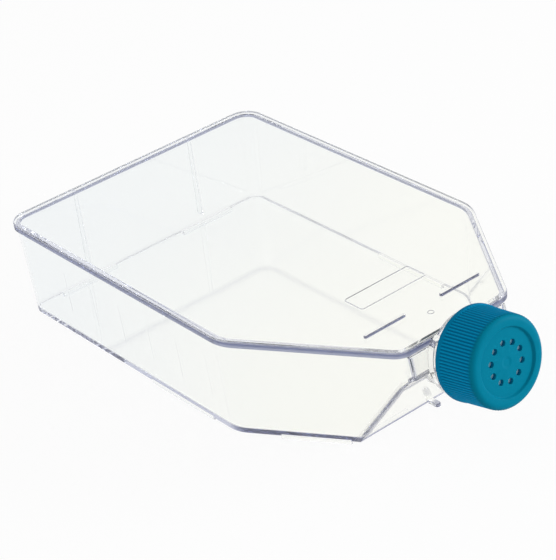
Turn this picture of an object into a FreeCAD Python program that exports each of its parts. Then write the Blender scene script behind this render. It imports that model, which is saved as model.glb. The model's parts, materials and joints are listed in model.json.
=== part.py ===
import FreeCAD, Part
import math
import os

# Cell culture flask with a canted neck and a vented screw cap.
#
# Frame while modelling: X runs from the back rim (0) towards the cap, Y across the flask with its
# mid-plane at 0, Z up from the underside of the floor. At the end every piece moves together so that
# the origin lies at the bottom centre of the whole object. All sizes are in millimetres.

os.makedirs("parts", exist_ok=True)

V = FreeCAD.Vector
UP = V(0, 0, 1)
ACROSS = V(0, 1, 0)

# ---- body outline, measured at the rim ----
rim_width = 130.0              # across the flask
straight_length = 143.0        # back edge to the shoulders
body_length = 201.4            # back edge to the front edge
front_width = 53.6             # across the narrow front
back_corner_radius = 9.0
shoulder_radius = 18.0
front_corner_radius = 8.0
least_corner_radius = 0.4      # on outlines moved in by more than their radius

# ---- heights and walls ----
body_height = 43.2             # underside of the floor to the top of the cover
wall = 1.6
floor_thickness = 1.6
plate_thickness = 1.6
flange_thickness = 1.4         # rim of the tray, under the cover
flange_overhang = 1.2          # rim beyond the wall's top
wall_draft = 2.1               # how far the wall leans in from the flange down to the floor
bottom_edge_radius = 0.4

# ---- ramp under the front ----
ramp_setback = 19.0            # front edge back to where the floor ends and the ramp starts
ramp_angle = 58.0              # degrees above the floor
ramp_radius = 10.0             # hollow bend from the ramp to the sill
sill_height = 31.6             # level that the bend runs out to

# ---- box that carries the neck, ahead of the front wall ----
box_half_width = 23.8

# ---- neck ----
neck_tilt = 10.5               # degrees above level
neck_root_height = 32.4        # neck axis above the underside, at the collar's back
neck_outer_radius = 14.9
neck_bore_radius = 13.2
collar_radius = 17.1           # it is cut off level with the top of the cover
collar_thickness = 3.3
collar_gap = 0.15              # between the cover's front edge and the collar's back
collar_web = 1.6               # what is left of the collar behind the top of the bore

# ---- screw thread ----
thread_pitch = 4.0
thread_height = 1.1
thread_root = 2.0              # width at its foot
thread_crest = 1.0
thread_sink = 0.3              # how far the thread's foot is rooted in its wall
thread_turns = 1.75
thread_start = 4.4             # from the neck's mouth down to the middle of the first turn

# ---- cap ----
cap_length = 18.6
cap_front_radius = 17.9
cap_back_radius = 18.4
cap_edge_radius = 2.7          # rounded edge round the face
cap_rim_height = 1.5           # plain band at the open end
cap_collar_gap = 2.3           # between the cap's open end and the collar
cap_bore_clearance = 0.45      # between the neck's thread and the cap's wall
cap_web = 1.5                  # thickness of the cap's end, behind the recess
recess_radius = 13.1
recess_depth = 0.9
knurl_ribs = 90
knurl_depth = 0.45             # groove between two ribs
knurl_tip_drop = 0.05          # ribs' tips below the plain band
knurl_core_drop = 0.36         # solid core of the ribbed band below the plain band
vent_holes = 10
vent_hole_radius = 1.2
vent_circle_radius = 7.55
gate_radius = 1.9
gate_depth = 0.2
seat_clearance = 0.05          # between parts that seat on each other but may turn
seal_height = 0.7              # raised land that closes on the mouth
seal_spread = 0.5              # how far the land reaches past the mouth's wall on each side

# ---- vent membrane ----
membrane_radius = 10.4
membrane_thickness = 0.4
weld_ring_width = 0.9          # ridge inside the cap that frames the membrane
weld_ring_height = 0.6
weld_ring_gap = 0.1

# ---- cover ----
cover_edge_radius = 0.5
stack_rib_setback = 18.0       # front edge back to the stacking ribs, one each side of the mid-plane
stack_rib_inner = 8.8
stack_rib_outer = 29.0
stack_rib_width = 1.5
stack_rib_height = 1.0
panel_setback = 44.0           # front edge back to the far side of the marking panel's raised outline
panel_length = 11.0
panel_half_width = 16.5
panel_line = 0.7
panel_height = 0.25
mark_setback = 12.5            # front edge back to the middle of a small moulding ring
mark_offset = 1.0              # and from the mid-plane towards -Y
mark_radius = 1.4
mark_line = 0.4
mark_height = 0.2

# ---- feet under the floor ----
foot_height = 2.0
foot_width = 1.6
foot_inset = 0.5               # from the floor's outline to the outside of a foot
side_foot_setback = 16.0       # shoulder back to the front end of a side foot
side_foot_length = 40.0
taper_foot_start = 0.32        # share of the way from the shoulder to the ramp's foot
taper_foot_end = 0.92
front_foot_setback = 3.0       # ramp's foot back to a front foot
front_foot_inner = 8.8
front_foot_outer = 27.5
back_foot_inner = 18.0
back_foot_outer = 46.0

# ---- small forms on the body ----
nub_length = 5.7               # rounded tab at the foot of the ramp
nub_width = 2.6
nub_height = 1.8
back_rib_y = 30.5              # upright ribs on the back wall
back_rib_width = 1.4
back_rib_foot = 3.6
tick_setback = 13.0            # shoulder back to the nearest volume line on one side wall
tick_spacing = 18.6
tick_count = 6
tick_low = 12.0
tick_high = 30.6
tick_width = 0.7
tick_height = 0.2

# ---- levels and lengths that follow ----
half_width = rim_width / 2
plate_bottom = body_height - plate_thickness
flange_bottom = plate_bottom - flange_thickness
taper_x = body_length - straight_length
taper_y = half_width - front_width / 2
taper_length = math.hypot(taper_x, taper_y)
tilt = math.radians(neck_tilt)
axis = V(math.cos(tilt), 0, math.sin(tilt))
axis_up = V(-math.sin(tilt), 0, math.cos(tilt))
ramp_foot_x = body_length - ramp_setback
root_x = body_length + collar_gap + (body_height - neck_root_height) * math.tan(tilt)
root = V(root_x, 0, neck_root_height)
cap_open = collar_thickness + cap_collar_gap          # open end of the cap, from the root
cap_face = cap_open + cap_length                      # face of the cap, from the root
cap_inside = cap_face - recess_depth - cap_web        # inner side of the cap's end, from the root
neck_mouth = cap_inside - seal_height - seat_clearance
thread_radius = neck_outer_radius + thread_height     # outside of the neck's thread
cap_bore_radius = thread_radius + cap_bore_clearance


# ---- outlines ----
def corners(inset):
    """Sharp corners of the rim's outline, each wall moved in by inset, counter-clockwise from the back."""
    side = half_width - inset
    front = body_length - inset
    shift = inset * taper_length / taper_y
    shoulder = straight_length - shift + inset * taper_x / taper_y
    front_side = half_width - (front + shift - straight_length) * taper_y / taper_x
    return [
        (inset, -side), (shoulder, -side), (front, -front_side),
        (front, front_side), (shoulder, side), (inset, side),
    ]


def corner_radii(inset):
    radii = [
        back_corner_radius, shoulder_radius, front_corner_radius,
        front_corner_radius, shoulder_radius, back_corner_radius,
    ]
    return [max(radius - inset, least_corner_radius) for radius in radii]


def rounded_wire(points, radii):
    """Closed wire through points with each corner rounded to a tangent arc."""
    count = len(points)
    starts = []
    ends = []
    middles = []
    for i in range(count):
        here = points[i]
        back = (points[i - 1] - here).normalize()
        ahead = (points[(i + 1) % count] - here).normalize()
        half_angle = back.getAngle(ahead) / 2
        reach = radii[i] / math.tan(half_angle)
        inward = (back + ahead).normalize()
        starts.append(here + back * reach)
        ends.append(here + ahead * reach)
        middles.append(here + inward * (radii[i] / math.sin(half_angle) - radii[i]))
    edges = []
    for i in range(count):
        edges.append(Part.LineSegment(ends[i - 1], starts[i]).toShape())
        edges.append(Part.Arc(starts[i], middles[i], ends[i]).toShape())
    return Part.Wire(edges)


def outline_wire(inset, height):
    points = [V(x, y, height) for x, y in corners(inset)]
    return rounded_wire(points, corner_radii(inset))


def outline_prism(inset, low, high):
    return Part.Face(outline_wire(inset, low)).extrude(UP * (high - low))


def wall_inset(height):
    """Inset of the outside of the wall at a height: it leans in towards the floor."""
    return flange_overhang + wall_draft * (1 - height / flange_bottom)


def drafted_solid(extra_inset, low, high):
    wires = [outline_wire(wall_inset(level) + extra_inset, level) for level in (low, high)]
    return Part.makeLoft(wires, True, True)


# ---- ramp and the box that carries the neck ----
def space_under_ramp(offset):
    """Everything ahead of and below the ramp, moved towards the inside of the flask by offset."""
    angle = math.radians(ramp_angle)
    along = V(math.cos(angle), 0, math.sin(angle))
    outward = V(math.sin(angle), 0, -math.cos(angle))
    centre_z = sill_height - ramp_radius
    centre_x = ramp_foot_x + (ramp_radius + centre_z * math.cos(angle)) / math.sin(angle)
    centre = V(centre_x, -rim_width, centre_z)
    radius = ramp_radius + offset
    bend_start = centre - outward * radius
    bend_end = centre + UP * radius
    bend_middle = centre + (UP - outward).normalize() * radius
    below = -2 * foot_height - floor_thickness
    low_point = bend_start + along * ((below - bend_start.z) / along.z)
    far_x = body_length + cap_face + rim_width
    far_top = V(far_x, -rim_width, bend_end.z)
    far_low = V(far_x, -rim_width, below)
    edges = [
        Part.LineSegment(low_point, bend_start).toShape(),
        Part.Arc(bend_start, bend_middle, bend_end).toShape(),
        Part.LineSegment(bend_end, far_top).toShape(),
        Part.LineSegment(far_top, far_low).toShape(),
        Part.LineSegment(far_low, low_point).toShape(),
    ]
    return Part.Face(Part.Wire(edges)).extrude(ACROSS * (2 * rim_width))


def front_x(height, distance):
    """Where a plane square to the neck, distance ahead of its root, lies at a height."""
    return root_x + (distance - (height - neck_root_height) * math.sin(tilt)) / math.cos(tilt)


def neck_box(shrink):
    """Box from inside the body to the collar's back, its front square to the neck, moved in by shrink."""
    side = box_half_width - shrink
    low = sill_height - ramp_radius
    high = flange_bottom - shrink
    outline = [
        (ramp_foot_x, low), (front_x(low, -shrink), low),
        (front_x(high, -shrink), high), (ramp_foot_x, high),
    ]
    points = [V(x, -side, z) for x, z in outline]
    return Part.Face(Part.makePolygon(points + points[:1])).extrude(ACROSS * (2 * side))


def below_level(level):
    """Half space under a level, as a large box."""
    size = 4 * body_length
    return Part.makeBox(size, size, size, V(-size / 2, -size / 2, level - size))


# ---- forms that lie round the neck axis ----
def along_neck(shape, distance=0.0):
    """Turn a shape drawn along +Z onto the neck axis and move it ahead of the root by distance."""
    shape = shape.copy()
    shape.rotate(V(0, 0, 0), ACROSS, 90 - neck_tilt)
    shape.translate(root + axis * distance)
    return shape


def neck_bar(radius, distance, top):
    """Round bar on the neck axis from inside the body to a distance ahead of the root, cut off at a level."""
    reach = ramp_setback + neck_outer_radius
    return along_neck(Part.makeCylinder(radius, reach + distance), -reach).common(below_level(top))


def revolved(points):
    """Solid of revolution about Z from (radius, height) points."""
    outline = [V(radius, 0, height) for radius, height in points]
    return Part.Face(Part.makePolygon(outline + outline[:1])).revolve(V(0, 0, 0), UP, 360)


def thread_ridge(foot_radius, crest_radius, start_height):
    """Right-hand ridge along a helix, rooted in the wall at foot_radius, its tip at crest_radius."""
    helix = Part.makeHelix(thread_pitch, thread_pitch * thread_turns, neck_outer_radius)
    half_foot = thread_root / 2
    half_crest = thread_crest / 2
    profile = Part.makePolygon([
        V(foot_radius, 0, -half_foot), V(crest_radius, 0, -half_crest),
        V(crest_radius, 0, half_crest), V(foot_radius, 0, half_foot), V(foot_radius, 0, -half_foot),
    ])
    ridge = Part.Wire(helix.Edges).makePipeShell([profile], True, True)
    ridge.translate(UP * start_height)
    return ridge


# ---- flask body ----
def feet():
    """Low strips under the floor, along each side of its outline."""
    outer = wall_inset(0) + foot_inset
    rings = outline_prism(outer, -foot_height, 0).cut(outline_prism(outer + foot_width, -foot_height, 0))
    x_limit = ramp_foot_x - foot_inset
    front_foot_x = ramp_foot_x - front_foot_setback - foot_width
    side_foot_end = straight_length - side_foot_setback
    taper_start = straight_length + (x_limit - straight_length) * taper_foot_start
    taper_end = straight_length + (x_limit - straight_length) * taper_foot_end
    along_sides = ((side_foot_end - side_foot_length, side_foot_end), (taper_start, taper_end))
    across_ends = (
        (front_foot_x, front_foot_inner, front_foot_outer),
        (outer, back_foot_inner, back_foot_outer),
    )
    bars = []
    for side in (-1, 1):
        for low, high in along_sides:
            corner = V(low, min(0, side * half_width), -foot_height)
            bars.append(rings.common(Part.makeBox(high - low, half_width, foot_height, corner)))
        for x, near, far in across_ends:
            corner = V(x, min(side * near, side * far), -foot_height)
            bars.append(Part.makeBox(foot_width, far - near, foot_height, corner))
    return bars


def nub():
    """Rounded tab on the mid-plane at the foot of the ramp."""
    radius = nub_width / 2
    back = ramp_foot_x - wall
    length = nub_length + wall - radius
    block = Part.makeBox(length, nub_width, nub_height, V(back, -radius, 0))
    tip = Part.makeCylinder(radius, nub_height, V(back + length, 0, 0))
    return block.fuse(tip)


def back_rib(y):
    """Upright rib on the back wall, flush with the rim."""
    inner = wall_inset(0) + wall / 2
    height = flange_bottom + flange_thickness / 2 - back_rib_foot
    return Part.makeBox(inner, back_rib_width, height, V(0, y - back_rib_width / 2, back_rib_foot))


def volume_tick(x):
    """Thin raised line up one side wall."""
    rooted = -wall / 2
    around = ((tick_low, tick_height), (tick_high, tick_height), (tick_high, rooted), (tick_low, rooted))
    profile = [V(x - tick_width / 2, wall_inset(level) - half_width - out, level) for level, out in around]
    return Part.Face(Part.makePolygon(profile + profile[:1])).extrude(V(tick_width, 0, 0))


def bottom_edges(solid):
    return [edge for edge in solid.Edges if all(abs(vertex.Z) < 1e-6 for vertex in edge.Vertexes)]


def make_flask_body():
    tray = drafted_solid(0, 0, flange_bottom).fuse(neck_box(0)).cut(space_under_ramp(0))
    tray = tray.makeFillet(bottom_edge_radius, bottom_edges(tray))
    flange = outline_prism(0, flange_bottom, plate_bottom)
    throat = neck_bar(neck_outer_radius, 0, flange_bottom)
    outside = tray.fuse([flange, throat] + feet() + [nub()])
    outside = outside.fuse([back_rib(y) for y in (-back_rib_y, back_rib_y)])
    last_tick = straight_length - tick_setback
    outside = outside.fuse([volume_tick(last_tick - i * tick_spacing) for i in range(tick_count)])
    collar = along_neck(Part.makeCylinder(collar_radius, collar_thickness)).common(below_level(body_height))
    neck = along_neck(Part.makeCylinder(neck_outer_radius, neck_mouth))
    outside = outside.fuse([collar, neck])

    inside = drafted_solid(wall, floor_thickness, plate_bottom).fuse(neck_box(wall))
    inside = inside.cut(space_under_ramp(wall))
    passage = neck_bar(neck_bore_radius, collar_web, flange_bottom - wall)
    bore = along_neck(Part.makeCylinder(neck_bore_radius, neck_mouth - collar_web + wall), collar_web)
    body = outside.cut([inside, passage, bore]).removeSplitter()
    thread_low = neck_mouth - thread_start - thread_pitch * thread_turns
    ridge = thread_ridge(neck_outer_radius - thread_sink, thread_radius, thread_low)
    return body.fuse(along_neck(ridge))


# ---- cover ----
def stacking_rib(side):
    """Low bar across the cover with round ends, on one side of the mid-plane."""
    radius = stack_rib_width / 2
    x = body_length - stack_rib_setback
    low = min(side * stack_rib_inner, side * stack_rib_outer) + radius
    length = stack_rib_outer - stack_rib_inner - stack_rib_width
    ends = [Part.makeCylinder(radius, stack_rib_height, V(x, y, body_height)) for y in (low, low + length)]
    return ends + [Part.makeBox(stack_rib_width, length, stack_rib_height, V(x - radius, low, body_height))]


def marking_panel():
    """Raised outline of a rectangle to write in."""
    x = body_length - panel_setback
    frame = []
    for inset in (0, panel_line):
        size = (panel_length - 2 * inset, 2 * (panel_half_width - inset), panel_height)
        frame.append(Part.makeBox(*size, V(x + inset, inset - panel_half_width, body_height)))
    return frame[0].cut(frame[1])


def moulding_ring():
    centre = V(body_length - mark_setback, -mark_offset, body_height)
    ring = Part.makeCylinder(mark_radius, mark_height, centre)
    return ring.cut(Part.makeCylinder(mark_radius - mark_line, mark_height, centre))


def make_top_plate():
    plate = outline_prism(0, plate_bottom, body_height)
    top_edges = [e for e in plate.Edges if all(abs(v.Z - body_height) < 1e-6 for v in e.Vertexes)]
    plate = plate.makeFillet(cover_edge_radius, top_edges)
    forms = [marking_panel(), moulding_ring()]
    for side in (-1, 1):
        forms += stacking_rib(side)
    return plate.fuse(forms).removeSplitter()


# ---- cap ----
def knurl_wire(tip_radius, height):
    """Star with one point for each rib."""
    points = []
    for i in range(2 * knurl_ribs):
        radius = tip_radius - (i % 2) * knurl_depth
        angle = math.pi * i / knurl_ribs
        points.append(V(radius * math.cos(angle), radius * math.sin(angle), height))
    return Part.makePolygon(points + points[:1])


def cap_radius(height):
    """Radius over the ribs at a height above the cap's open end."""
    return cap_back_radius + (cap_front_radius - cap_back_radius) * height / cap_length


cap_edge_start = cap_length - cap_edge_radius         # height where the edge round the face begins
cap_edge_middle = cap_radius(cap_edge_start) - cap_edge_radius     # radius to the middle of its arc


def cap_blank():
    """Solid cap with its ribbed band and its rounded face edge, open end at zero.

    The ribs run forward until they die away in the rounded edge, where it meets the band's core.
    """
    core_radius = cap_radius(cap_edge_start) - knurl_core_drop
    ribs_end = cap_edge_start + math.sqrt(cap_edge_radius ** 2 - (core_radius - cap_edge_middle) ** 2)
    halfway = math.atan2(ribs_end - cap_edge_start, core_radius - cap_edge_middle) / 2 + math.pi / 4
    points = [V(radius, 0, height) for radius, height in (
        (cap_edge_middle, cap_length), (0, cap_length), (0, 0), (cap_back_radius, 0),
        (cap_radius(cap_rim_height), cap_rim_height),
        (cap_radius(cap_rim_height) - knurl_core_drop, cap_rim_height + knurl_core_drop),
        (core_radius, ribs_end),
    )]
    arc_middle = V(cap_edge_middle + cap_edge_radius * math.cos(halfway), 0,
                   cap_edge_start + cap_edge_radius * math.sin(halfway))
    edges = Part.makePolygon(points).Edges + [Part.Arc(points[-1], arc_middle, points[0]).toShape()]
    core = Part.Face(Part.Wire(edges)).revolve(V(0, 0, 0), UP, 360)
    ribs = Part.makeLoft([
        knurl_wire(cap_radius(cap_rim_height) - knurl_tip_drop, cap_rim_height / 2),
        knurl_wire(cap_radius(cap_edge_start) - knurl_tip_drop, cap_edge_start),
        knurl_wire(core_radius - knurl_tip_drop, ribs_end),
    ], True, True)
    return core.fuse(ribs)


def ring_under_end(inner, outer, height):
    """Flat ring that stands down from the inner side of the cap's end."""
    place = V(0, 0, cap_inside - cap_open - height)
    return Part.makeCylinder(outer, height, place).cut(Part.makeCylinder(inner, height, place))


def cap_holes():
    """Ring of vent holes, and the shallow dimple in the middle of the recess."""
    recess_floor = cap_length - recess_depth
    cuts = [Part.makeCylinder(gate_radius, gate_depth, V(0, 0, recess_floor - gate_depth))]
    for i in range(vent_holes):
        angle = 2 * math.pi * i / vent_holes
        along = V(math.cos(angle), math.sin(angle), 0)
        place = along * vent_circle_radius + UP * (recess_floor - 2 * cap_web)
        cuts.append(Part.makeCylinder(vent_hole_radius, 3 * cap_web, place))
    return cuts


def make_screw_cap():
    bore = Part.makeCylinder(cap_bore_radius, cap_inside - cap_open)
    recess = Part.makeCylinder(recess_radius, recess_depth, V(0, 0, cap_length - recess_depth))
    seal = ring_under_end(neck_bore_radius - seal_spread, neck_outer_radius + seal_spread, seal_height)
    weld_inner = membrane_radius + weld_ring_gap
    weld = ring_under_end(weld_inner, weld_inner + weld_ring_width, weld_ring_height)
    cap = cap_blank().cut([bore, recess]).fuse([seal, weld])
    cap = cap.cut(cap_holes()).removeSplitter()
    thread_low = neck_mouth - thread_start - thread_pitch * (thread_turns - 0.5) - cap_open
    ridge = thread_ridge(cap_bore_radius + thread_sink, cap_bore_radius - thread_height, thread_low)
    return along_neck(cap.fuse(ridge), cap_open)


def make_vent_membrane():
    disc = Part.makeCylinder(membrane_radius, membrane_thickness)
    return along_neck(disc, cap_inside - membrane_thickness - seat_clearance)


# ---- place and write ----
# the lower edge of the canted cap reaches furthest ahead
edge_centre = root + axis * (cap_open + cap_edge_start) - axis_up * cap_edge_middle
overall_length = edge_centre.x + cap_edge_radius
to_origin = V(-overall_length / 2, 0, foot_height)

nodes = {
    "flask_body": make_flask_body(),
    "top_plate": make_top_plate(),
    "screw_cap": make_screw_cap(),
    "vent_membrane": make_vent_membrane(),
}

for name, shape in nodes.items():
    shape.translate(to_origin)
    shape.exportStep("parts/" + name + ".step")
    box = shape.BoundBox
    print(name, "solids", len(shape.Solids), "valid", shape.isValid(), "volume", round(shape.Volume, 1),
          "x", round(box.XMin, 2), round(box.XMax, 2), "y", round(box.YMin, 2), round(box.YMax, 2),
          "z", round(box.ZMin, 2), round(box.ZMax, 2))
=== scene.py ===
import json
import math

import bmesh
import bpy
import numpy as np
from bpy.props import FloatProperty, FloatVectorProperty, IntProperty, PointerProperty
from mathutils import Matrix, Vector


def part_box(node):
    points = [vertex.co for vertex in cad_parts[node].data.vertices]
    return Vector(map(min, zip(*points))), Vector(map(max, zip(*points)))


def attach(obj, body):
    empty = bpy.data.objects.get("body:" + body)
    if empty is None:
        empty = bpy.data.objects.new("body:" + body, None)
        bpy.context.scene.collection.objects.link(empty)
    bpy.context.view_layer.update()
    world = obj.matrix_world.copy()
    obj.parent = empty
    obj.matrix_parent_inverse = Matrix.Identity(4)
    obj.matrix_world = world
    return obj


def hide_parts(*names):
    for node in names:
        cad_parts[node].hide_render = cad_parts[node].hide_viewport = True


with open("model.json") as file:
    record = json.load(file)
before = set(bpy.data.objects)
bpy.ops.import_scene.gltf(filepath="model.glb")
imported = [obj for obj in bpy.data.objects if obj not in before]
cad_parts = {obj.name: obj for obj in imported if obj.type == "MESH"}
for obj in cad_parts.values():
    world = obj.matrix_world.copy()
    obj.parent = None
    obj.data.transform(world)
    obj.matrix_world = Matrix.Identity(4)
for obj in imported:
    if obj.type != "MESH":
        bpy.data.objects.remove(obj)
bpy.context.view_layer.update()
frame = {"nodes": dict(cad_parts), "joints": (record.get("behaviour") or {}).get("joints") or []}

bl_info = {
    "name": "Cell culture flask",
    "version": (1, 0, 0),
    "blender": (4, 5, 0),
    "location": "3D View > Sidebar > Flask",
    "description": "Builds a clear culture flask with a vented screw cap around its packed solids",
    "category": "Object",
}

# Everything is in metres. The tray and the cover are drawn in the flask's own frame: X from the back
# rim towards the cap, Y across, Z up from the underside of the floor. The cap and its membrane are
# drawn round the neck's axis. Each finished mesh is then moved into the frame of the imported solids.
COVER_LOW, COVER_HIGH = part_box("top_plate")
CAP_JOINT = next(joint for joint in frame["joints"] if joint["name"] == "cap_turn")
NECK_ROOT = Vector(CAP_JOINT["pos_m"])
NECK_AXIS = Vector(CAP_JOINT["axis"]).normalized()
ACROSS = Vector((0, 1, 0))
NECK_DOWN = ACROSS.cross(NECK_AXIS)


def span_along_neck(node):
    """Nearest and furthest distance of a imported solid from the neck's root, along the neck's axis."""
    mesh = frame["nodes"][node].data
    points = np.zeros(len(mesh.vertices) * 3)
    mesh.vertices.foreach_get("co", points)
    along = (points.reshape(-1, 3) - np.array(NECK_ROOT)) @ np.array(NECK_AXIS)
    return along.min(), along.max()


CAP_OPEN, CAP_FACE = span_along_neck("screw_cap")
MEMBRANE_LOW, MEMBRANE_HIGH = span_along_neck("vent_membrane")


# ---------------------------------------------------------------- sizes and colours
# Each of these functions makes one setting from its label, its description and its default.
def length(name, description, default):
    return FloatProperty(
        name=name, description=description, default=default,
        precision=5, unit="LENGTH", subtype="DISTANCE")


def angle(name, description, degrees):
    return FloatProperty(
        name=name, description=description, default=math.radians(degrees),
        unit="ROTATION", subtype="ANGLE")


def share(name, description, default):
    return FloatProperty(
        name=name, description=description, default=default, min=0, max=1, subtype="FACTOR")


def position(name, description, default):
    return FloatVectorProperty(
        name=name, description=description, default=default, unit="LENGTH", subtype="TRANSLATION")


def number(name, description, default):
    return IntProperty(name=name, description=description, default=default, min=0)


def colour(name, description, default):
    return FloatVectorProperty(
        name=name, description=description, default=default, size=3, min=0, max=1, subtype="COLOR")


class TraySizes(bpy.types.PropertyGroup):
    body_length: length("Body length", "Back rim to front rim", COVER_HIGH.x - COVER_LOW.x)
    half_width: length("Half width", "Middle of the flask to its side rim", COVER_HIGH.y)
    straight_length: length("Straight length", "Back rim to the shoulders", 0.143)
    front_width: length("Front width", "Width of the narrow front at the rim", 0.0536)
    back_corner: length("Back corner", "Radius of the rim's back corners", 0.009)
    shoulder: length("Shoulder", "Radius of the rim's shoulders", 0.018)
    front_corner: length("Front corner", "Radius of the rim's front corners", 0.008)
    rim_height: length("Rim height", "Underside of the floor to the underside of the cover", 0.0416)
    wall: length("Wall", "Thickness of walls and floor", 0.0016)
    flange: length("Flange", "Height of the tray's rim", 0.0014)
    overhang: length("Overhang", "How far the rim stands out over the wall", 0.0012)
    draft: length("Draft", "How far the wall leans in from its rim to the floor", 0.0021)
    bottom_edge: length("Bottom edge", "Outer radius between wall and floor", 0.0004)
    inner_edge: length("Inner edge", "Inner radius between wall and floor", 0.0008)
    ramp_edge: length("Ramp edge", "Outer radius between the ramp and the walls beside it", 0.0012)
    ramp_inner_edge: length("Ramp inner edge", "Inner radius there", 0.0004)
    rim_edge: length("Rim edge", "Radius of the rim's own edges", 0.0003)
    ramp_setback: length("Ramp setback", "Front rim back to the foot of the ramp", 0.019)
    ramp_angle: angle("Ramp angle", "Slope of the ramp over the floor", 58)
    ramp_bend: length("Ramp bend", "Radius between the ramp and the sill", 0.010)
    sill_height: length("Sill height", "Level that the ramp runs out to", 0.0316)


class NeckSizes(bpy.types.PropertyGroup):
    box_half_width: length("Box half width", "Half width of the box ahead of the front wall", 0.0238)
    collar_radius: length("Collar radius", "Outside of the collar behind the cap", 0.0171)
    collar: length("Collar", "Thickness of the collar", 0.0033)
    collar_web: length("Collar web", "Wall left behind the top of the bore", 0.0016)
    tube_radius: length("Tube radius", "Outside of the neck's tube", 0.0149)
    bore_radius: length("Bore radius", "Inside of the neck", 0.0132)
    mouth: length("Mouth", "Root of the neck to its mouth", 0.02105)
    edge: length("Edge", "Radius of the edges of collar and mouth", 0.0004)
    thread_pitch: length("Thread pitch", "Rise of the thread in one turn", 0.004)
    thread_height: length("Thread height", "How far the thread stands out", 0.0011)
    thread_root: length("Thread root", "Width of the thread at its foot", 0.0020)
    thread_crest: length("Thread crest", "Width of the thread at its tip", 0.0010)
    thread_start: length("Thread start", "Mouth down to the middle of the first turn", 0.0044)
    thread_turns: FloatProperty(name="Thread turns", description="Turns of thread", default=1.75, min=0)
    thread_fade: share("Thread fade", "Part of a turn in which the thread runs out at each end", 0.12)


class FormSizes(bpy.types.PropertyGroup):
    foot_height: length("Foot height", "Underside of the floor above the bench", 0.002)
    foot_width: length("Foot width", "Width of a foot", 0.0016)
    foot_inset: length("Foot inset", "Floor's outline to the outside of a foot", 0.0005)
    side_foot_setback: length("Side foot setback", "Shoulder back to a side foot", 0.016)
    side_foot_length: length("Side foot length", "Length of a side foot", 0.040)
    taper_foot_start: share("Taper foot start", "Share of the way from the shoulder to the ramp", 0.32)
    taper_foot_end: share("Taper foot end", "Share of the way from the shoulder to the ramp", 0.92)
    front_foot_setback: length("Front foot setback", "Ramp's foot back to a front foot", 0.003)
    front_foot_inner: length("Front foot inner", "Middle of the flask to a front foot", 0.0088)
    front_foot_outer: length("Front foot outer", "Middle of the flask to its outer end", 0.0275)
    back_foot_inner: length("Back foot inner", "Middle of the flask to a back foot", 0.018)
    back_foot_outer: length("Back foot outer", "Middle of the flask to its outer end", 0.046)
    nub_length: length("Nub length", "Reach of the tab at the foot of the ramp", 0.0057)
    nub_width: length("Nub width", "Width of the tab", 0.0026)
    nub_height: length("Nub height", "Height of the tab", 0.0018)
    back_rib_place: length("Back rib place", "Middle of the flask to a rib on its back", 0.0305)
    back_rib_width: length("Back rib width", "Width of a rib on the back", 0.0014)
    back_rib_foot: length("Back rib foot", "Floor up to the foot of a rib", 0.0036)
    tick_setback: length("Tick setback", "Shoulder back to the nearest volume line", 0.013)
    tick_spacing: length("Tick spacing", "From one volume line to the next", 0.0186)
    tick_count: number("Tick count", "Number of volume lines", 6)
    tick_low: length("Tick low", "Lower end of a volume line", 0.012)
    tick_high: length("Tick high", "Upper end of a volume line", 0.0306)
    tick_width: length("Tick width", "Width of a volume line", 0.0007)
    tick_height: length("Tick height", "How far a volume line stands out", 0.00003)


class CoverSizes(bpy.types.PropertyGroup):
    thickness: length("Thickness", "Thickness of the cover", 0.0016)
    edge: length("Edge", "Radius round the top of the cover", 0.0005)
    rib_setback: length("Rib setback", "Front rim back to the stacking ribs", 0.018)
    rib_inner: length("Rib inner", "Middle of the flask to a stacking rib", 0.0088)
    rib_outer: length("Rib outer", "Middle of the flask to its outer end", 0.029)
    rib_width: length("Rib width", "Width of a stacking rib", 0.0015)
    rib_height: length("Rib height", "Height of a stacking rib", 0.001)
    panel_setback: length("Panel setback", "Front rim back to the far side of the marking panel", 0.044)
    panel_length: length("Panel length", "Length of the marking panel", 0.011)
    panel_half_width: length("Panel half width", "Half width of the marking panel", 0.0165)
    panel_line: length("Panel line", "Width of the panel's raised outline", 0.0007)
    panel_height: length("Panel height", "Height of the panel's raised outline", 0.00012)
    ring_setback: length("Ring setback", "Front rim back to the small moulding ring", 0.0125)
    ring_offset: length("Ring offset", "Middle of the flask to the ring, towards -Y", 0.001)
    ring_radius: length("Ring radius", "Outside of the small moulding ring", 0.0014)
    ring_line: length("Ring line", "Width of the ring's raised line", 0.0004)
    ring_height: length("Ring height", "Height of the ring's raised line", 0.00012)


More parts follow.
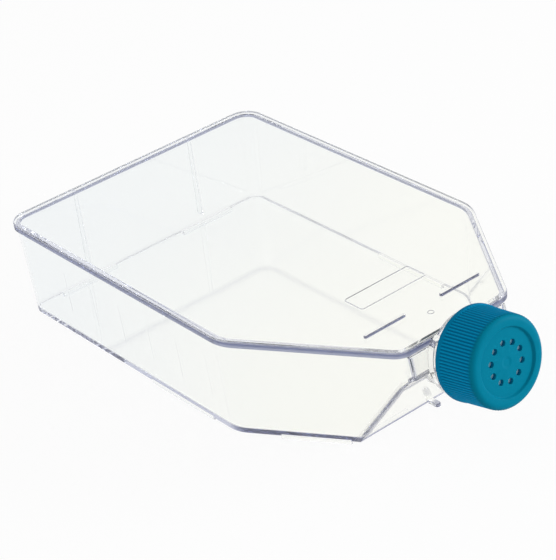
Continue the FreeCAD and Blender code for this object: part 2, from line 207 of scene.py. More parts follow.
class CapSizes(bpy.types.PropertyGroup):
    back_radius: length("Back radius", "Radius at the open end", 0.0184)
    front_radius: length("Front radius", "Radius at the face", 0.0179)
    face_edge: length("Face edge", "Radius of the edge round the face", 0.0027)
    small_edge: length("Small edge", "Radius of the cap's small edges", 0.0003)
    rim: length("Rim", "Plain band at the open end", 0.0018)
    ribs: number("Ribs", "Number of grip ribs", 90)
    rib_depth: length("Rib depth", "Depth of the grooves between the ribs", 0.00045)
    rib_drop: length("Rib drop", "Tips of the ribs below the plain band", 0.00021)
    rib_fade: length("Rib fade", "Length in which a groove starts", 0.0003)
    recess_radius: length("Recess radius", "Radius of the recess in the face", 0.0131)
    recess_slope: length("Recess slope", "Width of the recess's sloping side", 0.0009)
    recess_depth: length("Recess depth", "Depth of the recess", 0.0009)
    web: length("Web", "Thickness of the cap's end", 0.0015)
    bore_radius: length("Bore radius", "Inside of the cap's skirt", 0.01645)
    gate_radius: length("Gate radius", "Radius of the dimple in the middle", 0.0019)
    gate_depth: length("Gate depth", "Depth of the dimple", 0.0002)
    holes: number("Holes", "Number of vent holes", 10)
    hole_radius: length("Hole radius", "Radius of a vent hole", 0.0012)
    hole_edge: length("Hole edge", "Radius of the edge round a vent hole", 0.00015)
    hole_circle: length("Hole circle", "Radius of the ring of holes", 0.00755)
    seal_inner: length("Seal inner", "Inner radius of the land on the mouth", 0.0127)
    seal_outer: length("Seal outer", "Outer radius of the land on the mouth", 0.0154)
    seal_height: length("Seal height", "Height of the land", 0.0007)
    weld_inner: length("Weld inner", "Inner radius of the ridge round the membrane", 0.0105)
    weld_width: length("Weld width", "Width of the ridge", 0.0009)
    weld_height: length("Weld height", "Height of the ridge", 0.0006)
    membrane_radius: length("Membrane radius", "Radius of the vent membrane", 0.0104)


class Finishes(bpy.types.PropertyGroup):
    teal: colour("Cap", "Colour of the cap's face", (0.0, 0.186, 0.292))
    # painted bounce light: a brighter, bluer copy of the face's colour, standing in for how light falls
    # and bounces on the ribbed skirt
    teal_ribs_painted_bounce: colour("Cap, ribs", "Colour of the cap's ribs", (0.0, 0.27, 0.50))
    # painted shade: the darker, bluer colour laid in the cap's grooves and on its plain band at the
    # open end
    teal_painted_shade: colour("Cap, deep", "Colour in the cap's grooves", (0.0, 0.15, 0.30))
    # painted bounce light: the white membrane is given a pale blue for the teal light the cap throws
    # into its holes
    membrane: colour("Membrane", "Colour of the membrane", (0.50, 0.85, 0.95))
    bench: colour("Bench", "Colour of the floor", (0.97, 0.97, 0.97))
    glass_tint: colour("Clear tint", "Tint of what is seen through the plastic", (0.995, 0.997, 0.965))
    # painted shade: the darker, bluer tint of the back and the near side
    glass_tint_back_shade: colour("Clear tint, back", "Tint at the back, near side", (0.958, 0.974, 0.976))
    # painted shade: the dark blue-violet laid on the rim, the box's edge and the tab
    glass_edge_shade: colour("Clear edge", "Tint of the rim, the box's edge and the tab", (0.15, 0.17, 0.32))
    glass_pass: colour("Clear depth", "Colour that the plastic passes along it", (0.21, 0.25, 0.53))
    glass_density: FloatProperty(
        name="Clear density", description="Absorption per metre", default=5, min=0)
    glass_rough: share("Clear roughness", "Least roughness of the clear faces", 0.012)
    glass_dull: share("Clear dullness", "Roughness of the rim and of the edges beside the ramp", 0.35)
    # shares of the painted shade on the box's edge and on the tab
    box_edge_shade_share: share("Box edge tint", "Share of the edge's tint on the neck's box", 0.7)
    tab_shade_share: share("Tab tint", "Share of the edge's tint on the tab", 0.6)
    refraction: FloatProperty(
        name="Refraction", description="Index of the clear plastic", default=1.59, min=1)
    teal_rough: share("Cap roughness", "Least roughness of the cap", 0.40)
    teal_shine: share("Cap shine", "Specular level of the cap", 0.02)
    membrane_rough: share("Membrane roughness", "Least roughness of the membrane", 0.85)
    bench_rough: share("Bench roughness", "Least roughness of the floor", 0.9)


class StudioSettings(bpy.types.PropertyGroup):
    azimuth: angle("Azimuth", "Camera's direction, from behind -Y towards +X", 53.973)
    elevation: angle("Elevation", "Camera above level", 30.467)
    roll: angle("Roll", "Camera's roll", -7.476)
    distance: length("Distance", "Camera to its aim", 0.923738)
    aim_right: length("Aim right", "Aim to the right of the flask's back", 0.058636)
    aim_up: length("Aim up", "Aim above the flask's back", -0.014107)
    lens: FloatProperty(name="Lens", description="Focal length in millimetres", default=135.04, min=1)
    sky: FloatProperty(
        name="Sky", description="Strength of the room's light on matte things", default=0.55, min=0)
    dusk: colour("Dusk", "Colour of the room's sides where they are mirrored", (0.30, 0.33, 0.52))
    dusk_top: share("Dusk top", "Height, as a sine, at which the room's sides turn white", 0.55)
    glow: share("Glow", "Share of plain white in the floor as it is seen", 0.93)
    key: FloatProperty(name="Key", description="Power of the key lamp in watts", default=14.2, min=0)
    key_size: length("Key size", "Side of the square key lamp", 0.4)
    key_place: position("Key place", "Where the key lamp hangs, off the cap's side", (0.88, 1.03, 0.31))
    key_aim: position("Key aim", "What the key lamp faces", (0.05, 0, 0.02))
    fill: FloatProperty(name="Fill", description="Power of the fill lamp in watts", default=2.0, min=0)
    fill_size: length("Fill size", "Side of the square fill lamp", 0.9)
    fill_place: position("Fill place", "Where the fill lamp hangs, near and high", (0.1, -0.8, 1.0))
    fill_aim: position("Fill aim", "What the fill lamp faces", (0, 0, 0))


# ---------------------------------------------------------------- surfaces from two parameters
CORNER_STEPS = 20        # points round each corner of an outline
EDGE_STEPS = 6           # points round a small edge
ROUND_STEPS = 144        # points round the neck
DISC_STEPS = 120         # points round the membrane
HOLE_STEPS = 32          # points round a vent hole
BAR_STEPS = 9            # points round each end of a bar
FRAME_STEPS = 7          # points round each corner of a raised outline
SOFT_STEPS = 9           # points over a low swelling or into the dimple
RISE_STEPS = 13          # points over a raised line or up the side of the recess
NECK_STEPS = 64          # points along the neck's thread
SKIRT_STEPS = 44         # points along the cap's own thread
RIB_STEPS = 12           # points down the cap's ribs
FADE_STEPS = 6           # points where the grooves start
BITE = 0.00005           # overlap of solids that would only touch
SINK = 0.0003            # how far a small form is rooted in the wall that carries it


def arc(centre, radius, start, end, steps=EDGE_STEPS):
    """Points of an arc in a plane: centre + radius * (cos a, sin a), a running evenly in degrees."""
    a = np.radians(np.linspace(start, end, steps + 1))
    return np.stack((centre[0] + radius * np.cos(a), centre[1] + radius * np.sin(a)), axis=-1)


def path(*stretches):
    """One array of points from single points and arrays of points."""
    return np.concatenate([np.atleast_2d(stretch) for stretch in stretches])


def smooth_step(x):
    """0 below 0, 1 above 1, and 3x^2 - 2x^3 between."""
    x = np.clip(x, 0, 1)
    return x * x * (3 - 2 * x)


def build_mesh(name, points, quads, ends=()):
    """Mesh object from an array of points, an array of quads and flat faces that close its ends."""
    loops = np.concatenate([quads.ravel(), *ends]).astype(np.int32)
    sizes = np.concatenate([np.full(len(quads), quads.shape[1]), [len(end) for end in ends]])
    starts = (np.cumsum(sizes) - sizes).astype(np.int32)
    mesh = bpy.data.meshes.new(name)
    mesh.vertices.add(len(points))
    mesh.vertices.foreach_set("co", points.ravel())
    mesh.loops.add(len(loops))
    mesh.loops.foreach_set("vertex_index", loops)
    mesh.polygons.add(len(sizes))
    mesh.polygons.foreach_set("loop_start", starts)
    mesh.update(calc_edges=True)
    piece = bpy.data.objects.new(name, mesh)
    bpy.context.scene.collection.objects.link(piece)
    return piece


def turn_outwards(piece):
    """Makes every face of a closed mesh point outwards."""
    shape = bmesh.new()
    shape.from_mesh(piece.data)
    bmesh.ops.recalc_face_normals(shape, faces=shape.faces)
    shape.to_mesh(piece.data)
    shape.free()


def ring_solid(name, rings, looped=False):
    """Closed solid through rings of points, an array (rings, columns, 3).

    Point (i, j) joins (i + 1, j) and (i, j + 1), and every ring closes on itself. The first and last
    ring are closed by flat faces, or joined to each other when looped.
    """
    count, columns = rings.shape[:2]
    row = np.arange(count if looped else count - 1)[:, None]
    column = np.arange(columns)[None, :]
    above = (row + 1) % count
    ahead = (column + 1) % columns
    here, next_ring = row * columns, above * columns
    corners = np.broadcast_arrays(here + column, here + ahead, next_ring + ahead, next_ring + column)
    quads = np.stack(corners, axis=-1).reshape(-1, 4)
    ends = () if looped else (np.arange(columns)[::-1], np.arange(columns) + (count - 1) * columns)
    piece = build_mesh(name, rings.reshape(-1, 3), quads, ends)
    turn_outwards(piece)
    return piece


def lathe_rings(profile, columns, reshape=None):
    """Rings round Z from (radius, height) points: (r cos a, r sin a, z), a running evenly round.

    reshape gives the new radius for arrays of angle, radius and height.
    """
    a = np.linspace(0, 2 * np.pi, columns, endpoint=False)[None, :]
    radius = np.repeat(profile[:, :1], columns, axis=1)
    height = np.repeat(profile[:, 1:], columns, axis=1)
    if reshape is not None:
        radius = reshape(np.broadcast_to(a, radius.shape), radius, height)
    return np.stack((radius * np.cos(a), radius * np.sin(a), height), axis=-1)


def thread_rise(neck, a, height, start, turns):
    """Height of a right-hand thread at angle a and a height along its axis.

    The thread's middle climbs by one pitch in each turn: start + pitch * (a / 2 pi + n). Across it the
    profile is a trapezoid from its root to its crest, and along it the ends fade in and out.
    """
    n = np.arange(math.ceil(turns) + 1)[:, None, None]
    turned = a[None] / (2 * np.pi) + n
    away = np.abs(height[None] - start - neck.thread_pitch * turned)
    flank = (neck.thread_root - neck.thread_crest) / 2
    across = smooth_step((neck.thread_root / 2 - away) / flank)
    along = smooth_step(turned / neck.thread_fade) * smooth_step((turns - turned) / neck.thread_fade)
    return neck.thread_height * (across * along).max(axis=0)


def body_outlines(tray, insets):
    """Outlines of the body with every wall moved in by an inset: an array (insets, columns, 2).

    A sharp corner moves along its bisector by inset / cos(turn / 2). Its arc has the corner's radius
    less the inset, and its points are centre + r * normal, the normal turning evenly between walls.
    """
    taper_x = tray.body_length - tray.straight_length
    taper_y = tray.half_width - tray.front_width / 2
    sharp = np.array([
        (0, -tray.half_width), (tray.straight_length, -tray.half_width),
        (tray.body_length, -tray.front_width / 2), (tray.body_length, tray.front_width / 2),
        (tray.straight_length, tray.half_width), (0, tray.half_width),
    ])
    slant = math.atan2(taper_x, taper_y)
    normals = np.array((-np.pi, -np.pi / 2, -slant, 0, slant, np.pi / 2, np.pi))
    radii = np.array((tray.back_corner, tray.shoulder, tray.front_corner))
    radii = np.concatenate((radii, radii[::-1]))
    middle = (normals[:-1] + normals[1:]) / 2
    half_turn = (normals[1:] - normals[:-1]) / 2
    bisector = np.stack((np.cos(middle), np.sin(middle)), axis=-1) / np.cos(half_turn)[:, None]
    insets = np.atleast_1d(insets)[:, None]
    radius = np.maximum(radii[None] - insets, tray.rim_edge)
    centre = sharp[None] - (insets + radius)[..., None] * bisector[None]
    t = np.linspace(0, 1, CORNER_STEPS + 1)[None, :]
    a = normals[:-1, None] * (1 - t) + normals[1:, None] * t
    outwards = np.stack((np.cos(a), np.sin(a)), axis=-1)
    points = centre[:, :, None] + radius[..., None, None] * outwards[None]
    return points.reshape(len(insets), -1, 2)


def body_rings(tray, profile):
    """Rings round the body from (outward, height) points, outward being measured from the rim."""
    flat = body_outlines(tray, -profile[:, 0])
    height = np.broadcast_to(profile[:, 1][:, None, None], flat.shape[:2] + (1,))
    return np.concatenate((flat, height), axis=-1)


def side_prism(name, outline, half_width):
    """Solid between two copies of an outline of (x, z) points, half_width to each side."""
    rings = [np.insert(outline, 1, side * half_width, axis=1) for side in (-1, 1)]
    return ring_solid(name, np.array(rings))


def square_section(low, high, edge):
    """Half of a bar's section as (inset, height) points: an upright side and a rounded edge."""
    return path((0, low), arc((edge, high - edge), edge, 180, 90, steps=4))


def soft_section(low, high, width):
    """Half of a low swelling's section: a foot in the wall and a rise of high (1 - cos) / 2.

    The rise takes nearly all of the half width, and the rest stays as a narrow flat along the crest.
    """
    t = np.linspace(0, 1, SOFT_STEPS)
    inset = 0.96 * width / 2 * t
    return path((0, low), np.stack((inset, high * (1 - np.cos(np.pi * t)) / 2), axis=-1))


def rounded_bar(name, run, width, section, place):
    """Bar with round ends along local X and a flat foot.

    Its outline is a stadium: two half circles of radius width / 2 less an inset, with centres a run
    apart. Insets and heights follow the section.
    """
    a = np.concatenate((np.linspace(-90, 90, BAR_STEPS), np.linspace(90, 270, BAR_STEPS)))
    a = np.radians(a)[None, :]
    centre = np.repeat((run / 2, -run / 2), BAR_STEPS)[None, :]
    radius = width / 2 - section[:, :1]
    x = centre + radius * np.cos(a)
    y = radius * np.sin(a)
    z = np.broadcast_to(section[:, 1:], x.shape)
    bar = ring_solid(name, np.stack((x, y, z), axis=-1))
    bar.data.transform(place)
    return bar


def line_frame(name, outlines, profile):
    """Raised line round a closed outline: its section's points sit on outlines of their own."""
    height = np.broadcast_to(profile[:, 1][:, None, None], outlines.shape[:2] + (1,))
    return ring_solid(name, np.concatenate((outlines, height), axis=-1), looped=True)


def combine(target, tools, operation):
    """Joins solids to a solid, or cuts them from it, and removes them."""
    for tool in tools:
        boolean = target.modifiers.new(operation, "BOOLEAN")
        boolean.operation = operation
        boolean.solver = "MANIFOLD"
        boolean.object = tool
    bake_modifiers(target)
    for tool in tools:
        mesh = tool.data
        bpy.data.objects.remove(tool)
        bpy.data.meshes.remove(mesh)


def bake_modifiers(piece):
    """Puts what a piece's modifiers make of it in its mesh."""
    depsgraph = bpy.context.evaluated_depsgraph_get()
    shaped = bpy.data.meshes.new_from_object(piece.evaluated_get(depsgraph))
    flat = piece.data
    piece.modifiers.clear()
    piece.data = shaped
    bpy.data.meshes.remove(flat)


def finish_mesh(piece, place, sharp_angle):
    """Moves a mesh into its place. Its edges are crisp from an angle in degrees, the rest is smooth."""
    piece.data.transform(place)
    piece.data.name = piece.name
    piece.data.shade_smooth()
    piece.data.set_sharp_from_angle(angle=math.radians(sharp_angle))
    normals = piece.modifiers.new("even faces", "WEIGHTED_NORMAL")
    normals.keep_sharp = True
    normals.mode = "FACE_AREA_WITH_ANGLE"


# ---------------------------------------------------------------- finishes
def overloaded(operation, reflected=False):
    """Method of a wire that adds a Math node. The other value comes first when it is reflected."""
    def method(self, other):
        first, second = (other, self) if reflected else (self, other)
        return self.finish.node("ShaderNodeMath", {"operation": operation}, {0: first, 1: second})

    return method


class Wire:
    """One output of a material's nodes, which can be added, multiplied and so on as a number can."""

    def __init__(self, finish, socket):
        self.finish = finish
        self.socket = socket

    __add__, __radd__ = overloaded("ADD"), overloaded("ADD", True)
    __sub__, __rsub__ = overloaded("SUBTRACT"), overloaded("SUBTRACT", True)
    __mul__, __rmul__ = overloaded("MULTIPLY"), overloaded("MULTIPLY", True)
    __truediv__, __rtruediv__ = overloaded("DIVIDE"), overloaded("DIVIDE", True)
    __pow__, __rpow__ = overloaded("POWER"), overloaded("POWER", True)


class Finish:
    """A material, or the world, and the nodes that make it."""

    def __init__(self, owner):
        owner.use_nodes = True
        self.owner = owner
        self.tree = owner.node_tree
        self.tree.nodes.clear()
        kind = "Material" if isinstance(owner, bpy.types.Material) else "World"
        self.output = self.tree.nodes.new("ShaderNodeOutput" + kind)

    def node(self, kind, settings=None, inputs=None, output=0):
        """A new node: its settings first, then its sockets' values or links. Returns one output."""
        made = self.tree.nodes.new(kind)
        for name, value in (settings or {}).items():
            setattr(made, name, value)
        for name, value in (inputs or {}).items():
            if isinstance(value, Wire):
                self.tree.links.new(value.socket, made.inputs[name])
            else:
                made.inputs[name].default_value = value
        return Wire(self, made.outputs[output])

    def place(self, **mapping):
        """Object coordinates, moved, turned or scaled by a Mapping node."""
        source = self.node("ShaderNodeTexCoord", output="Object")
        return self.node("ShaderNodeMapping", {}, {"Vector": source, **mapping})

    def noise(self, place, scale, detail=2.0, roughness=0.5):
        """A pattern of soft spots, about 1 / scale metres across."""
        inputs = {"Vector": place, "Scale": scale, "Detail": detail, "Roughness": roughness}
        return self.node("ShaderNodeTexNoise", {}, inputs)

    def pick(self, operation, *values):
        """The smallest (MINIMUM) or the largest (MAXIMUM) of some values."""
        picked = values[0]
        for value in values[1:]:
            picked = self.node("ShaderNodeMath", {"operation": operation}, {0: picked, 1: value})
        return picked

    def size(self, value):
        """A value without its sign."""
        return self.node("ShaderNodeMath", {"operation": "ABSOLUTE"}, {0: value})

    def part(self, vector, axis):
        """One component of a vector: X, Y or Z."""
        return self.node("ShaderNodeSeparateXYZ", {}, {0: vector}, output=axis)

    def ramp(self, value, start, end):
        """0 where a value is at start, 1 where it is at end, and a smooth step between."""
        return self.node("ShaderNodeMapRange", {"interpolation_type": "SMOOTHSTEP"}, {
            "Value": value, "From Min": start, "From Max": end})

    def between(self, value, low, high, fade):
        """1 where a value lies from low to high, and a smooth step to 0 over a fade at each end."""
        return self.ramp(value, low - fade, low) * self.ramp(value, high + fade, high)

    def blend(self, factor, first, second):
        """Mix of two colours. The Mix node's colours are its inputs 6 and 7 and its output 2."""
        inputs = {0: factor, 6: first, 7: second}
        return self.node("ShaderNodeMix", {"data_type": "RGBA"}, inputs, output=2)

    def bump(self, height, strength, distance):
        """Normals of a surface that a height raises, by up to the distance."""
        inputs = {"Height": height, "Strength": strength, "Distance": distance}
        return self.node("ShaderNodeBump", {}, inputs)

    def end(self, shader, volume=None):
        """Links the shader, and the volume if there is one, and returns the finished material."""
        self.tree.links.new(shader.socket, self.output.inputs["Surface"])
        if volume is not None:
            self.tree.links.new(volume.socket, self.output.inputs["Volume"])
        return self.owner


def new_finish(name):
    return Finish(bpy.data.materials.new(name))


def body_depths(make, tray, x, y, z):
    """How deep a spot lies inside the rim's outline, and how deep behind the ramp and its bend.

    The outline's depth is the least of the distances to its walls, the slanting wall's being
    (x' - x) nx + (y' - y) ny. The ramp's is that to its plane up to where the bend starts, and that to
    the bend's arc, |p - centre| - radius, above it.
    """
    taper_y = tray.half_width - tray.front_width / 2
    slant = Vector((taper_y, tray.body_length - tray.straight_length)).normalized()
    taper = (tray.straight_length - x) * slant.x + (tray.half_width - y) * slant.y
    rim = make.pick("MINIMUM", x, tray.body_length - x, tray.half_width - y, taper)
    rise, run = math.sin(tray.ramp_angle), math.cos(tray.ramp_angle)
    straight = (ramp_foot(tray) - x) * rise + z * run
    bend_z = tray.sill_height - tray.ramp_bend
    bend_x = ramp_foot(tray) + (tray.ramp_bend + bend_z * run) / rise
    hollow = ((x - bend_x) * (x - bend_x) + (z - bend_z) * (z - bend_z)) ** 0.5 - tray.ramp_bend
    bent = make.ramp(z, bend_z + tray.ramp_bend * run - SINK, bend_z + tray.ramp_bend * run)
    return rim, straight + (hollow - straight) * bent


def painted_edge_shade(make, scene, x, y, z, upright, body):
    """Where painted shade darkens the clear plastic, as a share: the dark lines that light makes in
    thick clear edges.

    That is on the upright faces of the rim, where the cover is welded on, on the front edge of the
    neck's box and on the tab.
    """
    finishes, tray, neck = scene.flask_finishes, scene.flask_tray, scene.flask_neck
    forms, cover = scene.flask_forms, scene.flask_cover
    wall = tray.wall
    low = tray.rim_height - tray.flange
    high = tray.rim_height + cover.thickness - 2 * cover.edge
    # painted shade on the rim's upright band where the cover is welded on
    weld = make.between(z, low + SINK, high, SINK) * upright * body
    root = flask_root(forms)
    from_root = (x - root.x) * NECK_AXIS.x + (z - root.z) * NECK_AXIS.z
    box_side = make.ramp(y, neck.box_half_width - wall, neck.box_half_width)
    box_side = box_side * make.ramp(z, low, low - SINK)
    # painted shade on the box's front edge
    box_end_shade = make.between(from_root, -wall, 0, SINK) * box_side
    # painted shade on the tab
    tab = make.ramp(x, ramp_foot(tray) + wall, ramp_foot(tray) + 2 * wall)
    tab = tab * make.ramp(z, forms.nub_height + 2 * SINK, forms.nub_height + SINK)
    return weld + finishes.box_edge_shade_share * box_end_shade + finishes.tab_shade_share * tab


def dull_parts(make, tray, x, y, z, upright):
    """Where the clear plastic is dull, as a share: on the rim and on the edges beside the ramp."""
    wall = tray.wall
    low = tray.rim_height - tray.flange
    rim_depth, ramp_depth = body_depths(make, tray, x, y, z)
    wall_depth = rim_depth - tray.overhang - tray.draft * (1 - z / low)
    rim = make.ramp(rim_depth, 2 * wall, wall) * make.ramp(z, low - SINK, low) * upright
    beside_ramp = make.ramp(wall_depth, 1.5 * wall, wall) * make.ramp(ramp_depth, 1.5 * wall, wall)
    return rim + beside_ramp * make.ramp(x, tray.body_length - wall, tray.body_length - 2 * wall)


def clear_plastic(scene):
    """Clear polystyrene: slow waves from the flow of the melt, a few fine streaks, blue-grey depth.

    Its faint tint carries painted shade: it is darker and bluer at the back and the near side, and
    turns paler towards the front and the far side.
    """
    finishes, tray = scene.flask_finishes, scene.flask_tray
    make = new_finish("clear_polystyrene")
    broad = make.noise(make.place(Scale=(1, 1, 0.6)), scale=26, detail=1.0)
    fine = make.noise(make.place(Scale=(0.12, 1, 1)), scale=60)
    haze = make.noise(make.place(), scale=900, detail=3.0, roughness=0.6)
    to_origin = -to_flask(scene.flask_forms).translation
    x, side, z = (make.part(make.place(Location=to_origin), axis) for axis in "XYZ")
    y = make.size(side)
    facing_up = make.size(make.part(make.node("ShaderNodeTexCoord", output="Normal"), "Z"))
    upright = make.ramp(facing_up, 0.8, 0.2)
    body = make.ramp(x, tray.body_length + SINK, tray.body_length)
    # painted shade: 0 at the back and the near side, 1 at the front and the far side
    forward = make.ramp(x + 0.5 * side + 0.03 * broad, -tray.half_width / 2, tray.body_length)
    tint = make.blend(forward, (*finishes.glass_tint_back_shade, 1), (*finishes.glass_tint, 1))
    # painted shade: the rim, the box's front edge and the tab are taken towards a dark blue-violet
    edge_shade = painted_edge_shade(make, scene, x, y, z, upright, body)
    dull = finishes.glass_dull * dull_parts(make, tray, x, y, z, upright) * body
    shader = make.node("ShaderNodeBsdfPrincipled", {"distribution": "GGX"}, {
        "Base Color": make.blend(edge_shade, tint, (*finishes.glass_edge_shade, 1)),
        "Roughness": finishes.glass_rough + 0.02 * haze ** 3 + dull,
        "IOR": finishes.refraction, "Transmission Weight": 1.0,
        "Normal": make.bump(broad * 0.8 + fine * 0.2, strength=0.10, distance=0.0006),
    })
    depth = make.node("ShaderNodeVolumeAbsorption", {}, {
        "Color": (*finishes.glass_pass, 1), "Density": finishes.glass_density})
    return make.end(shader, depth)


def cap_plastic(scene):
    """Matte coloured polyethylene: faint mottling, fine grain, painted shade in the grooves and on the
    open end's plain band, and painted bounce light on the ribs.
    """
    finishes, cap = scene.flask_finishes, scene.flask_cap
    make = new_finish("teal_cap")
    mottle = make.noise(make.place(), scale=180, detail=3.0, roughness=0.6)
    grain = make.noise(make.place(), scale=2600, roughness=0.6)
    to_neck = along_neck().inverted()
    spot = make.place(Location=to_neck.translation, Rotation=to_neck.to_euler())
    across, down, distance = (make.part(spot, axis) for axis in "XYZ")
    radius = (across * across + down * down) ** 0.5
    slope = (cap.front_radius - cap.back_radius) / (CAP_FACE - CAP_OPEN)
    depth = cap.back_radius + slope * (distance - CAP_OPEN) - radius
    edge_start = CAP_FACE - cap.face_edge
    skirt = make.ramp(distance, CAP_FACE - 0.4 * cap.face_edge, edge_start)
    # painted shade: 1 in the grooves between the ribs, where shade falls
    groove = make.ramp(depth, cap.rib_drop, cap.rib_drop + cap.rib_depth) * skirt
    darker = tuple(0.94 * part for part in finishes.teal)
    face = make.blend(mottle, (*darker, 1), (*finishes.teal, 1))
    # painted bounce light: the skirt takes the brighter, bluer copy of the cap's colour
    tone = make.blend(skirt, face, (*finishes.teal_ribs_painted_bounce, 1))
    # painted shade: the plain band at the open end is taken most of the way to the shade colour
    rim = make.ramp(distance, CAP_OPEN + cap.rim + cap.rib_fade, CAP_OPEN + cap.rim)
    tone = make.blend(groove + 0.7 * rim, tone, (*finishes.teal_painted_shade, 1))
    shader = make.node("ShaderNodeBsdfPrincipled", {}, {
        "Base Color": tone, "Roughness": finishes.teal_rough + 0.14 * grain, "IOR": 1.51,
        "Specular IOR Level": finishes.teal_shine,
        "Normal": make.bump(grain * 0.6 + mottle * 0.4, strength=0.18, distance=0.00008),
    })
    return make.end(shader)


def membrane_felt(finishes):
    """Filter membrane: crossed fine fibres, dry and matte, its white painted pale blue for the teal
    light bounced onto it by the cap.
    """
    make = new_finish("white_filter")
    fibres = {"scale": 900, "detail": 3.0, "roughness": 0.65}
    one = make.noise(make.place(Scale=(1, 9, 1), Rotation=(0, 0, 0.4)), **fibres)
    two = make.noise(make.place(Scale=(9, 1, 1), Rotation=(0, 0, 1.1)), **fibres)
    weave = one * 0.5 + two * 0.5
    darker = tuple(0.9 * part for part in finishes.membrane)
    tone = make.blend(weave, (*darker, 1), (*finishes.membrane, 1))
    shader = make.node("ShaderNodeBsdfPrincipled", {}, {
        "Base Color": tone, "Roughness": finishes.membrane_rough + 0.1 * weave,
        "Specular IOR Level": 0.1, "Normal": make.bump(weave, strength=0.5, distance=0.00005)})
    return make.end(shader)


def seen_rays(make, with_camera):
    """1 for a ray that was mirrored or refracted last, and for the camera's own if wanted."""
    kinds = ["Is Glossy Ray", "Is Transmission Ray"] + ["Is Camera Ray"] * with_camera
    rays = [make.node("ShaderNodeLightPath", output=kind) for kind in kinds]
    return make.pick("MAXIMUM", *rays)


def bench_paint(finishes, glow):
    """Plain pale board with a barely visible tooth, part of it plain white where it is seen."""
    make = new_finish("bench_board")
    tooth = make.noise(make.place(), scale=400)
    paler = tuple(min(1, part * 1.01) for part in finishes.bench)
    tone = make.blend(tooth, (*finishes.bench, 1), (*paler, 1))
    shader = make.node("ShaderNodeBsdfPrincipled", {}, {
        "Base Color": tone, "Roughness": finishes.bench_rough + 0.05 * tooth,
        "Specular IOR Level": 0.0})
    white = make.node("ShaderNodeEmission", {}, {"Color": (1, 1, 1, 1), "Strength": 1.0})
    seen = seen_rays(make, True) * glow
    return make.end(make.node("ShaderNodeMixShader", {}, {0: seen, 1: shader, 2: white}))


def dress(piece, material, body, slot, *nodes):
    """Gives a finished piece its material and its body, and hides the solids it stands for. The
    record's slot is not used.
    """
    piece.data.materials.clear()
    piece.data.materials.append(material)
    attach(piece, body)
    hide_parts(*nodes)


# ---------------------------------------------------------------- tray
def to_flask(forms):
    """Moves the flask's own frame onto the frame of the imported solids."""
    return Matrix.Translation((COVER_LOW.x, 0, forms.foot_height))


def standing(origin, along, out):
    """Matrix that lays local X along a direction and points local Z out of a surface."""
    along = Vector(along).normalized()
    out = Vector(out).normalized()
    turned = Matrix((along, out.cross(along), out)).transposed()
    return Matrix.Translation(origin) @ turned.to_4x4()


def wall_inset(tray, height):
    """How far the wall's outside lies inside the rim at a height."""
    return tray.overhang + tray.draft * (1 - height / (tray.rim_height - tray.flange))


def wall_lean(tray):
    """The wall's angle from upright."""
    return math.atan(tray.draft / (tray.rim_height - tray.flange))


def wall_foot(tray, inward, level, radius):
    """Arc from a level floor into the leaning wall, tangent to both, as (outward, height) points."""
    lean = wall_lean(tray)
    out = -wall_inset(tray, level) - inward
    centre = out - radius * (1 - math.sin(lean)) / math.cos(lean)
    return arc((centre, level + radius), radius, -90, -math.degrees(lean))


def body_outside(tray, cover):
    """Solid inside the outer surface: floor edge, leaning wall, rim and cover, round the body."""
    low = tray.rim_height - tray.flange
    top = tray.rim_height + cover.thickness
    edge = tray.rim_edge
    profile = path(
        wall_foot(tray, 0, 0, tray.bottom_edge),
        arc((edge - tray.overhang, low - edge), edge, 180, 90),
        arc((-edge, low + edge), edge, -90, 0),
        arc((-cover.edge, top - cover.edge), cover.edge, 0, 90),
    )
    return ring_solid("clear_body", body_rings(tray, profile))


def body_inside(tray):
    """Hollow between the floor, the walls and the underside of the cover."""
    top = -wall_inset(tray, tray.rim_height) - tray.wall
    profile = path(wall_foot(tray, tray.wall, tray.wall, tray.inner_edge), (top, tray.rim_height))
    return ring_solid("hollow", body_rings(tray, profile))


def ramp_foot(tray):
    """Where the ramp would meet the underside of the floor, in X."""
    return tray.body_length - tray.ramp_setback


def under_ramp(tray, offset, level, edge):
    """Everything ahead of and below the ramp, moved into the flask by offset, as a prism.

    Its outline is a rounded foot on a level floor, the straight ramp, and the hollow bend, an arc about
    one centre for every offset, that runs out level.
    """
    slope = tray.ramp_angle
    degrees = math.degrees(slope)
    foot_x = ramp_foot(tray) + ((level + edge) * math.cos(slope) - offset - edge) / math.sin(slope)
    bend_z = tray.sill_height - tray.ramp_bend
    bend_x = ramp_foot(tray) + (tray.ramp_bend + bend_z * math.cos(slope)) / math.sin(slope)
    radius = tray.ramp_bend + offset
    far_x = 1.5 * tray.body_length
    below = -tray.rim_height
    outline = path(
        arc((foot_x, level + edge), edge, -90, degrees - 90),
        arc((bend_x, bend_z), radius, 90 + degrees, 90, steps=16),
        (far_x, bend_z + radius), (far_x, below), (foot_x, below),
    )
    return side_prism("under_ramp", outline, 1.5 * tray.half_width)


# how much of a face's normal may lie, or has to lie, across, up or down
NO_SIDE, SOME_SIDE = 0.02, 0.1
SOME_DOWN, UPRIGHT = 0.05, 0.2


